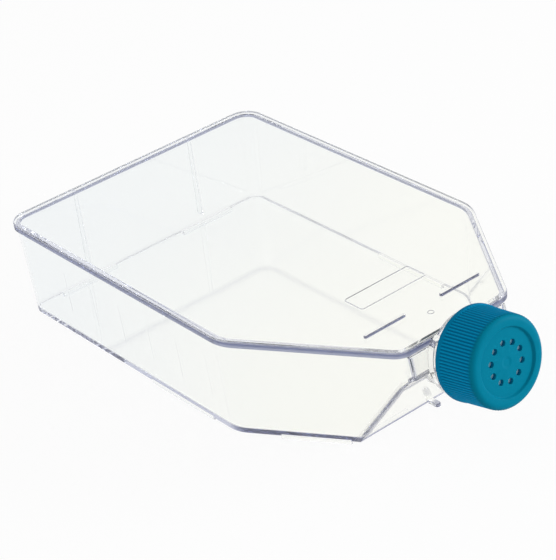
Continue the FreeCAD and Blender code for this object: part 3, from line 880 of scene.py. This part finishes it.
def round_ramp_edges(piece, low, high, radius):
    """Rounds the edges between the ramp and the walls beside it, between two levels.

    An edge is one of them where one of its two faces looks down and not sideways, and the other stands
    upright and looks sideways.
    """
    mesh = piece.data
    edge_of_corner = np.zeros(len(mesh.loops), np.int32)
    mesh.loops.foreach_get("edge_index", edge_of_corner)
    sizes = np.zeros(len(mesh.polygons), np.int32)
    mesh.polygons.foreach_get("loop_total", sizes)
    normals = np.zeros(3 * len(mesh.polygons))
    mesh.polygons.foreach_get("normal", normals)
    points = np.zeros(3 * len(mesh.vertices))
    mesh.vertices.foreach_get("co", points)
    ends = np.zeros(2 * len(mesh.edges), np.int32)
    mesh.edges.foreach_get("vertices", ends)
    face_of_corner = np.repeat(np.arange(len(sizes)), sizes)
    faces = face_of_corner[np.argsort(edge_of_corner, kind="stable")].reshape(-1, 2)
    normal = normals.reshape(-1, 3)[faces]
    level = points.reshape(-1, 3)[ends.reshape(-1, 2), 2].mean(axis=1)
    side, up = np.abs(normal[..., 1]), normal[..., 2]
    under = (side < NO_SIDE) & (up < -SOME_DOWN)
    beside = (side > SOME_SIDE) & (np.abs(up) < UPRIGHT)
    chosen = (under & beside[:, ::-1]).any(axis=1) & (level > low) & (level < high)
    weights = mesh.attributes.new("bevel_weight_edge", "FLOAT", "EDGE")
    weights.data.foreach_set("value", chosen.astype(np.float32))
    bevel = piece.modifiers.new("round ramp edges", "BEVEL")
    bevel.limit_method = "WEIGHT"
    bevel.width = radius
    bevel.segments = 4
    bake_modifiers(piece)


# ---------------------------------------------------------------- neck
def flask_root(forms):
    """Root of the neck in the flask's own frame."""
    return NECK_ROOT - Vector((COVER_LOW.x, 0, forms.foot_height))


def front_x(forms, height, distance):
    """Where a plane square to the neck, distance ahead of its root, lies at a height."""
    root = flask_root(forms)
    return root.x + (distance - (height - root.z) * NECK_AXIS.z) / NECK_AXIS.x


def neck_box(tray, neck, forms, shrink):
    """Box from inside the body to the collar, moved in by shrink, its front square to the neck."""
    low = tray.sill_height - tray.ramp_bend
    high = tray.rim_height - tray.flange + BITE - shrink
    outline = np.array((
        (ramp_foot(tray), low), (front_x(forms, low, -shrink), low),
        (front_x(forms, high, -shrink), high), (ramp_foot(tray), high),
    ))
    return side_prism("neck_box", outline, neck.box_half_width - shrink)


def neck_rings(forms, profile, reshape=None):
    """Rings round the neck's axis from (radius r, distance d) points.

    A point is root + axis d + (down cos a + across sin a) r.
    """
    rings = lathe_rings(profile, ROUND_STEPS, reshape)
    frame_of_neck = np.array((NECK_DOWN, ACROSS, NECK_AXIS))
    return np.array(flask_root(forms)) + rings @ frame_of_neck


def cut_above(piece, tray, back, level):
    """Cuts off what lies above a level, from a place in X forwards."""
    front, high = 2 * tray.body_length, tray.body_length
    outline = np.array(((back, level), (front, level), (front, high), (back, high)))
    combine(piece, [side_prism("above", outline, tray.half_width)], "DIFFERENCE")
    return piece


def throat(tray, neck, forms, radius, distance, level):
    """Round bar on the neck's axis from inside the body to a distance ahead, cut off at a level."""
    reach = tray.ramp_setback + neck.tube_radius
    profile = np.array(((radius, -reach), (radius, distance)))
    bar = ring_solid("throat", neck_rings(forms, profile))
    return cut_above(bar, tray, ramp_foot(tray) - tray.body_length, level)


def collar(tray, neck, forms, level):
    """Collar behind the cap, cut off at a level."""
    edge = neck.edge
    profile = path(
        arc((neck.collar_radius - edge, edge - BITE), edge, 270, 360),
        arc((neck.collar_radius - edge, neck.collar - edge), edge, 0, 90),
    )
    disc = ring_solid("collar", neck_rings(forms, profile))
    return cut_above(disc, tray, tray.body_length - tray.wall, level)


def neck_tube(neck, forms):
    """Threaded tube of the neck."""
    edge = neck.edge
    run = np.linspace(edge, neck.mouth - 2 * edge, NECK_STEPS)
    profile = path(
        arc((neck.tube_radius - edge, edge), edge, 270, 360),
        np.stack((np.full(len(run) - 1, neck.tube_radius), run[1:]), axis=-1),
        arc((neck.tube_radius - edge, neck.mouth - edge), edge, 0, 90),
    )
    start = neck.mouth - neck.thread_start - neck.thread_pitch * neck.thread_turns

    def threaded(a, radius, distance):
        """The tube's radius and the thread's height over it."""
        return radius + thread_rise(neck, a, distance, start, neck.thread_turns)

    return ring_solid("neck", neck_rings(forms, profile, threaded))


def neck_inside(neck, forms):
    """Bore of the neck, from the collar's web out through the mouth."""
    edge = neck.edge
    profile = path(
        (neck.bore_radius, neck.collar_web),
        arc((neck.bore_radius + edge, neck.mouth - edge), edge, 180, 90),
        (neck.bore_radius + edge, neck.mouth + edge),
    )
    return ring_solid("bore", neck_rings(forms, profile))


# ---------------------------------------------------------------- small forms on the tray
def feet(tray, forms):
    """Low rounded strips under the floor: along the sides, the tapers, the front and the back."""
    width = forms.foot_width
    inset = wall_inset(tray, 0) + forms.foot_inset + width / 2
    limit = ramp_foot(tray) - forms.foot_inset
    front_x = ramp_foot(tray) - forms.front_foot_setback - width / 2
    taper = Vector((tray.body_length - tray.straight_length, tray.half_width - tray.front_width / 2, 0))
    taper_way = taper.normalized()
    taper_run = limit - tray.straight_length
    taper_low = tray.straight_length + taper_run * forms.taper_foot_start
    taper_high = tray.straight_length + taper_run * forms.taper_foot_end
    side_high = tray.straight_length - forms.side_foot_setback
    down = (0, 0, -1)
    bars = []
    for side in (-1, 1):
        y = side * (tray.half_width - inset)
        bars.append((forms.side_foot_length, (side_high - forms.side_foot_length / 2, y, 0), (1, 0, 0)))
        middle = (taper_low + taper_high) / 2
        reach = (middle - tray.straight_length) * taper.y / taper.x
        y = side * (tray.half_width - reach - inset / taper_way.x)
        way = (taper_way.x, -side * taper_way.y, 0)
        bars.append(((taper_high - taper_low) / taper_way.x, (middle, y, 0), way))
        for x, near, far in ((front_x, forms.front_foot_inner, forms.front_foot_outer),
                             (inset, forms.back_foot_inner, forms.back_foot_outer)):
            bars.append((far - near, (x, side * (near + far) / 2, 0), (0, 1, 0)))
    section = square_section(-SINK, forms.foot_height, SINK)
    return [rounded_bar("foot", size - width, width, section, standing(spot, way, down))
            for size, spot, way in bars]


def nub(tray, forms):
    """Rounded tab on the middle of the ramp's foot."""
    back = ramp_foot(tray) - tray.wall
    size = forms.nub_length + tray.wall
    place = standing((back + size / 2, 0, 0), (1, 0, 0), (0, 0, 1))
    section = square_section(SINK, forms.nub_height, 2 * SINK)
    return rounded_bar("nub", size - forms.nub_width, forms.nub_width, section, place)


def back_ribs(tray, forms):
    """Upright ribs on the back wall, flush with the rim."""
    high = tray.rim_height - tray.flange / 2
    size = high - forms.back_rib_foot
    depth = wall_inset(tray, 0) + tray.wall / 2
    width = forms.back_rib_width
    middle = forms.back_rib_foot + size / 2
    return [rounded_bar("back_rib", size - width, width, square_section(-depth, 0, SINK),
                        standing((0, side * forms.back_rib_place, middle), (0, 0, 1), (-1, 0, 0)))
            for side in (-1, 1)]


def volume_lines(tray, forms):
    """Thin raised lines up one side wall."""
    size = forms.tick_high - forms.tick_low
    middle = (forms.tick_high + forms.tick_low) / 2
    lean = wall_lean(tray)
    along = (0, -math.sin(lean), math.cos(lean))
    out = (0, -math.cos(lean), -math.sin(lean))
    last = tray.straight_length - forms.tick_setback
    y = wall_inset(tray, middle) - tray.half_width
    section = soft_section(-SINK, forms.tick_height, forms.tick_width)
    return [rounded_bar("volume_line", size - forms.tick_width, forms.tick_width, section,
                        standing((last - i * forms.tick_spacing, y, middle), along, out))
            for i in range(forms.tick_count)]


# ---------------------------------------------------------------- small forms on the cover
def stacking_ribs(tray, cover):
    """Two domed bars across the cover that keep stacked flasks from sliding."""
    top = tray.rim_height + cover.thickness
    width = cover.rib_width
    size = cover.rib_outer - cover.rib_inner
    x = tray.body_length - cover.rib_setback
    section = square_section(-SINK, cover.rib_height, width / 2 - SINK)
    return [rounded_bar("stacking_rib", size - width, width, section,
                        standing((x, side * (cover.rib_inner + size / 2), top), (0, 1, 0), (0, 0, 1)))
            for side in (-1, 1)]


def raised_section(line, height, base):
    """Section of a raised line as (inset, height) points: a foot in the cover and a rise of sin^2."""
    t = np.linspace(0, 1, RISE_STEPS)
    crown = np.stack((line * t, base + height * np.sin(np.pi * t) ** 2), axis=-1)
    return path((0, base - SINK), crown, (line, base - SINK))


def rounded_rectangle(insets, size_x, size_y, corner):
    """Outlines round the origin: corner centres stay, and the radius is the corner's less the inset."""
    quarters = [np.linspace(start, start + 90, FRAME_STEPS) for start in (0, 90, 180, 270)]
    a = np.radians(np.concatenate(quarters))[None, :]
    sign_x = np.repeat((1, -1, -1, 1), FRAME_STEPS)[None, :]
    sign_y = np.repeat((1, 1, -1, -1), FRAME_STEPS)[None, :]
    radius = (corner - insets)[:, None]
    x = sign_x * (size_x / 2 - corner) + radius * np.cos(a)
    y = sign_y * (size_y / 2 - corner) + radius * np.sin(a)
    return np.stack((x, y), axis=-1)


def marking_lines(tray, cover):
    """Raised outline of the marking panel, and the small moulding ring."""
    top = tray.rim_height + cover.thickness
    section = raised_section(cover.panel_line, cover.panel_height, top)
    size_x, size_y = cover.panel_length, 2 * cover.panel_half_width
    shape = rounded_rectangle(section[:, 0], size_x, size_y, 2 * cover.panel_line)
    shape[..., 0] += tray.body_length - cover.panel_setback + cover.panel_length / 2
    panel = line_frame("panel", shape, section)
    section = raised_section(cover.ring_line, cover.ring_height, top)
    size = 2 * cover.ring_radius
    shape = rounded_rectangle(section[:, 0], size, size, cover.ring_radius)
    shape += (tray.body_length - cover.ring_setback, -cover.ring_offset)
    return [panel, line_frame("ring", shape, section)]


def make_body(scene):
    """The tray and the cover that is welded onto it: one clear piece, since the weld can't be seen."""
    tray, neck, forms, cover = scene.flask_tray, scene.flask_neck, scene.flask_forms, scene.flask_cover
    under_rim = tray.rim_height - tray.flange
    piece = body_outside(tray, cover)
    combine(piece, [neck_box(tray, neck, forms, 0)], "UNION")
    combine(piece, [under_ramp(tray, 0, 0, tray.bottom_edge)], "DIFFERENCE")
    round_ramp_edges(piece, 2 * tray.wall, tray.sill_height + tray.wall, tray.ramp_edge)
    hollow = body_inside(tray)
    combine(hollow, [neck_box(tray, neck, forms, tray.wall)], "UNION")
    combine(hollow, [under_ramp(tray, tray.wall, tray.wall, tray.inner_edge)], "DIFFERENCE")
    round_ramp_edges(hollow, 2 * tray.wall, tray.sill_height + 2 * tray.wall, tray.ramp_inner_edge)
    small = feet(tray, forms) + [nub(tray, forms)] + back_ribs(tray, forms) + volume_lines(tray, forms)
    small += stacking_ribs(tray, cover) + marking_lines(tray, cover)
    outer_throat = throat(tray, neck, forms, neck.tube_radius, neck.edge, under_rim - tray.wall / 2)
    top = tray.rim_height + cover.thickness
    neck_forms = [outer_throat, collar(tray, neck, forms, top), neck_tube(neck, forms)]
    combine(piece, neck_forms + small, "UNION")
    ceiling = under_rim - tray.wall - BITE
    passage = throat(tray, neck, forms, neck.bore_radius, neck.collar_web + BITE, ceiling)
    combine(piece, [hollow, passage, neck_inside(neck, forms)], "DIFFERENCE")
    finish_mesh(piece, to_flask(forms), sharp_angle=30)
    dress(piece, clear_plastic(scene), "flask", "clear_polystyrene", "flask_body", "top_plate")
    return piece


# ---------------------------------------------------------------- cap
COLUMNS_PER_RIB = 8


def along_neck():
    """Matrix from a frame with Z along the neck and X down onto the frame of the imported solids."""
    turned = Matrix((NECK_DOWN, ACROSS, NECK_AXIS)).transposed()
    return Matrix.Translation(NECK_ROOT) @ turned.to_4x4()


def skirt_radius(cap, height):
    """Radius of the cap's plain skirt, which narrows evenly from its open end to its face."""
    share_of_way = (height - CAP_OPEN) / (CAP_FACE - CAP_OPEN)
    return cap.back_radius + (cap.front_radius - cap.back_radius) * share_of_way


def cap_outside(cap):
    """Rings from the dimple in the face out over the edge and down the ribbed skirt to the open end."""
    edge = cap.small_edge
    floor = CAP_FACE - cap.recess_depth
    t = np.linspace(0, 1, SOFT_STEPS)
    dimple = (cap.gate_radius * (0.6 + 0.8 * t), floor - cap.gate_depth * (1 - smooth_step(t)))
    t = np.linspace(0, 1, RISE_STEPS)
    side = (cap.recess_radius + cap.recess_slope * (t - 0.5), floor + cap.recess_depth * smooth_step(t))
    edge_low = CAP_FACE - cap.face_edge
    edge_inner = skirt_radius(cap, edge_low) - cap.face_edge
    face = arc((edge_inner, edge_low), cap.face_edge, 90, 0, steps=20)
    head = path(np.stack(dimple, axis=-1), np.stack(side, axis=-1), face)
    low = CAP_OPEN + cap.rim
    ribbed = np.linspace(edge_low, low + cap.rib_fade, RIB_STEPS)[1:]
    fading = low + cap.rib_fade * np.linspace(1, 0, FADE_STEPS)[1:]
    heights = np.concatenate((ribbed, fading))
    skirt = np.stack((skirt_radius(cap, heights), heights), axis=-1)
    rim = arc((cap.back_radius - edge, CAP_OPEN + edge), edge, 0, -90)

    def grooved(a, radius, height):
        """Grip ribs: grooves, a cosine raised to a power, from the plain rim into the face's edge."""
        starts = smooth_step((height - low) / cap.rib_fade)
        depth = starts * (cap.rib_drop + cap.rib_depth * (0.5 + 0.5 * np.cos(cap.ribs * a)) ** 1.5)
        return np.minimum(radius, skirt_radius(cap, height) - depth)

    return lathe_rings(path(head, skirt, rim), cap.ribs * COLUMNS_PER_RIB, grooved)


def ridge(inner, outer, top, height, edge):
    """Section of a ridge that hangs from a top, its flanks leaning in by edge."""
    return path((outer, top), (outer - edge, top - height), (inner + edge, top - height), (inner, top))


def cap_inside(cap, neck):
    """Rings from the open end up the threaded skirt and over the ridges under the cap's end."""
    edge = cap.small_edge
    end = CAP_FACE - cap.recess_depth - cap.web
    heights = np.linspace(CAP_OPEN + 2 * edge, end - 2 * edge, SKIRT_STEPS)
    profile = path(
        arc((cap.bore_radius + edge, CAP_OPEN + edge), edge, -90, -180),
        np.stack((np.full(len(heights), cap.bore_radius), heights), axis=-1),
        arc((cap.bore_radius - edge, end - edge), edge, 0, 90),
        ridge(cap.seal_inner, cap.seal_outer, end, cap.seal_height, edge),
        ridge(cap.weld_inner, cap.weld_inner + cap.weld_width, end, cap.weld_height, edge),
    )
    start = neck.mouth - neck.thread_start - neck.thread_pitch * (neck.thread_turns - 0.5)

    def threaded(a, radius, height):
        """The skirt's radius less the thread's height, and the ridges' radii as they are."""
        on_skirt = np.where(height < end - edge, 1.0, 0.0)
        return radius - on_skirt * thread_rise(neck, a, height, start, neck.thread_turns)

    return lathe_rings(profile, cap.ribs * COLUMNS_PER_RIB, threaded)


def vent_holes(cap):
    """Ring of drills through the cap's end, flared where they meet the recess."""
    edge = cap.hole_edge
    floor = CAP_FACE - cap.recess_depth
    profile = path(
        (cap.hole_radius, floor - 2 * cap.web),
        arc((cap.hole_radius + edge, floor - edge), edge, 180, 90, steps=4),
        (cap.hole_radius + edge, floor + edge),
    )
    rings = lathe_rings(profile, HOLE_STEPS)
    drills = []
    for i in range(cap.holes):
        a = 2 * math.pi * i / cap.holes
        place = np.array((cap.hole_circle * math.cos(a), cap.hole_circle * math.sin(a), 0))
        drills.append(ring_solid("drill", rings + place))
    return drills


def make_cap(scene):
    """Cap of one wall: the outside's rings run on into the inside's, and the vents are drilled."""
    cap, neck = scene.flask_cap, scene.flask_neck
    piece = ring_solid("ribbed_cap", np.concatenate((cap_outside(cap), cap_inside(cap, neck))))
    combine(piece, vent_holes(cap), "DIFFERENCE")
    finish_mesh(piece, along_neck(), sharp_angle=40)
    dress(piece, cap_plastic(scene), "cap", "teal_polyethylene", "screw_cap")
    return piece


def make_membrane(scene):
    """Thin disc with a softly rounded edge, laid under the cap's end."""
    cap = scene.flask_cap
    half = (MEMBRANE_HIGH - MEMBRANE_LOW) / 2
    middle = (MEMBRANE_HIGH + MEMBRANE_LOW) / 2
    profile = arc((cap.membrane_radius - half, middle), half, -90, 90, steps=8)
    piece = ring_solid("filter_disc", lathe_rings(profile, DISC_STEPS))
    finish_mesh(piece, along_neck(), sharp_angle=40)
    dress(piece, membrane_felt(scene.flask_finishes), "cap_carrier", "white_membrane", "vent_membrane")
    return piece


# ---------------------------------------------------------------- studio
LIGHT_BOUNCES = 96


def make_floor(scene):
    """Wide flat board, a grid of two parameters at the height of the feet's soles."""
    reach, cells = 3.0, 8
    grid = np.linspace(-reach, reach, cells + 1)
    x, y = np.meshgrid(grid, grid, indexing="ij")
    points = np.stack((x, y, np.zeros_like(x)), axis=-1).reshape(-1, 3)
    row, column = np.meshgrid(np.arange(cells), np.arange(cells), indexing="ij")
    first = (row * (cells + 1) + column).ravel()
    corners = (first, first + cells + 1, first + cells + 2, first + 1)
    floor = build_mesh("bench", points, np.stack(corners, axis=-1))
    floor.data.materials.append(bench_paint(scene.flask_finishes, scene.flask_studio.glow))


def make_world(scene):
    """White room, weaker where it lights matte things, its sides duskier where they are mirrored."""
    world = bpy.data.worlds.new("white_room")
    bpy.context.scene.world = world
    make = Finish(world)
    studio = scene.flask_studio
    way = make.node("ShaderNodeTexCoord", output="Generated")
    sides = make.ramp(make.part(way, "Z"), studio.dusk_top, 0.0) * seen_rays(make, False)
    tone = make.blend(sides, (1, 1, 1, 1), (*studio.dusk, 1))
    strength = studio.sky + (1 - studio.sky) * seen_rays(make, True)
    make.end(make.node("ShaderNodeBackground", {}, {"Color": tone, "Strength": strength}))


def make_lamp(name, place, aim, size, power):
    """Square lamp that hangs at a place and faces its aim."""
    lamp = bpy.data.lights.new(name, "AREA")
    lamp.shape = "SQUARE"
    lamp.size = size
    lamp.energy = power
    thing = bpy.data.objects.new(name, lamp)
    bpy.context.scene.collection.objects.link(thing)
    turned = (Vector(aim) - Vector(place)).to_track_quat("-Z", "Y").to_matrix()
    thing.matrix_world = Matrix.Translation(place) @ turned.to_4x4()


def make_camera(scene):
    """Camera that looks at the flask's back from az round Z and el above level, then rolls."""
    studio, forms = scene.flask_studio, scene.flask_forms
    az, el = studio.azimuth, studio.elevation
    back = Vector((math.sin(az) * math.cos(el), -math.cos(az) * math.cos(el), math.sin(el)))
    right = Vector((0, 0, 1)).cross(back).normalized()
    up = back.cross(right)
    rolled = Matrix((right, up, back)).transposed() @ Matrix.Rotation(studio.roll, 3, "Z")
    aim = rolled @ Vector((studio.aim_right, studio.aim_up, studio.distance))
    camera = bpy.data.objects.new("camera", bpy.data.cameras.new("camera"))
    camera.data.lens = studio.lens
    camera.data.clip_start = 0.01
    camera.matrix_world = Matrix.Translation(to_flask(forms).translation + aim) @ rolled.to_4x4()
    bpy.context.scene.collection.objects.link(camera)
    bpy.context.scene.camera = camera


def make_stage(scene):
    """Floor, room, lamps and camera, and enough bounces for light inside thick clear edges."""
    studio = scene.flask_studio
    make_floor(scene)
    make_world(scene)
    make_lamp("key", studio.key_place, studio.key_aim, studio.key_size, studio.key)
    make_lamp("fill", studio.fill_place, studio.fill_aim, studio.fill_size, studio.fill)
    make_camera(scene)
    scene.view_settings.view_transform = "Standard"
    for kind in ("max_bounces", "glossy_bounces", "transmission_bounces"):
        setattr(scene.cycles, kind, LIGHT_BOUNCES)


# ---------------------------------------------------------------- add-on
class FLASK_OT_stage(bpy.types.Operator):
    """Sets up the floor, the room's light, the lamps and the camera"""
    bl_idname = "flask.stage"
    bl_label = "Stage"

    def execute(self, context):
        make_stage(context.scene)
        return {"FINISHED"}


class FLASK_OT_body(bpy.types.Operator):
    """Makes the clear body: tray, ramp, neck, thread, feet and the welded cover with its small forms"""
    bl_idname = "flask.body"
    bl_label = "Clear body"

    def execute(self, context):
        make_body(context.scene)
        return {"FINISHED"}


class FLASK_OT_cap(bpy.types.Operator):
    """Makes the ribbed, vented screw cap"""
    bl_idname = "flask.cap"
    bl_label = "Screw cap"

    def execute(self, context):
        make_cap(context.scene)
        return {"FINISHED"}


class FLASK_OT_membrane(bpy.types.Operator):
    """Makes the vent membrane inside the cap"""
    bl_idname = "flask.membrane"
    bl_label = "Vent membrane"

    def execute(self, context):
        make_membrane(context.scene)
        return {"FINISHED"}


class FLASK_PT_panel(bpy.types.Panel):
    """Lists the flask's pieces and their sizes"""
    bl_label = "Culture flask"
    bl_idname = "FLASK_PT_panel"
    bl_space_type = "VIEW_3D"
    bl_region_type = "UI"
    bl_category = "Flask"

    def draw(self, context):
        for operator in OPERATORS:
            self.layout.operator(operator.bl_idname)
        for name, (group, title) in GROUPS.items():
            box = self.layout.box()
            box.label(text=title)
            settings = getattr(context.scene, name)
            for size in group.__annotations__:
                box.prop(settings, size)


OPERATORS = (FLASK_OT_stage, FLASK_OT_body, FLASK_OT_cap, FLASK_OT_membrane)
GROUPS = {
    "flask_tray": (TraySizes, "Tray"),
    "flask_neck": (NeckSizes, "Neck"),
    "flask_forms": (FormSizes, "Small forms"),
    "flask_cover": (CoverSizes, "Cover"),
    "flask_cap": (CapSizes, "Cap"),
    "flask_finishes": (Finishes, "Finishes"),
    "flask_studio": (StudioSettings, "Studio"),
}


def register():
    for group, _ in GROUPS.values():
        bpy.utils.register_class(group)
    for operator in OPERATORS:
        bpy.utils.register_class(operator)
    bpy.utils.register_class(FLASK_PT_panel)
    for name, (group, _) in GROUPS.items():
        setattr(bpy.types.Scene, name, PointerProperty(type=group))


def unregister():
    for name in GROUPS:
        delattr(bpy.types.Scene, name)
    bpy.utils.unregister_class(FLASK_PT_panel)
    for operator in reversed(OPERATORS):
        bpy.utils.unregister_class(operator)
    for group, _ in reversed(list(GROUPS.values())):
        bpy.utils.unregister_class(group)


def main():
    register()
    bpy.ops.flask.body()
    bpy.ops.flask.cap()
    bpy.ops.flask.membrane()
    bpy.ops.flask.stage()


if __name__ == "__main__":
    main()
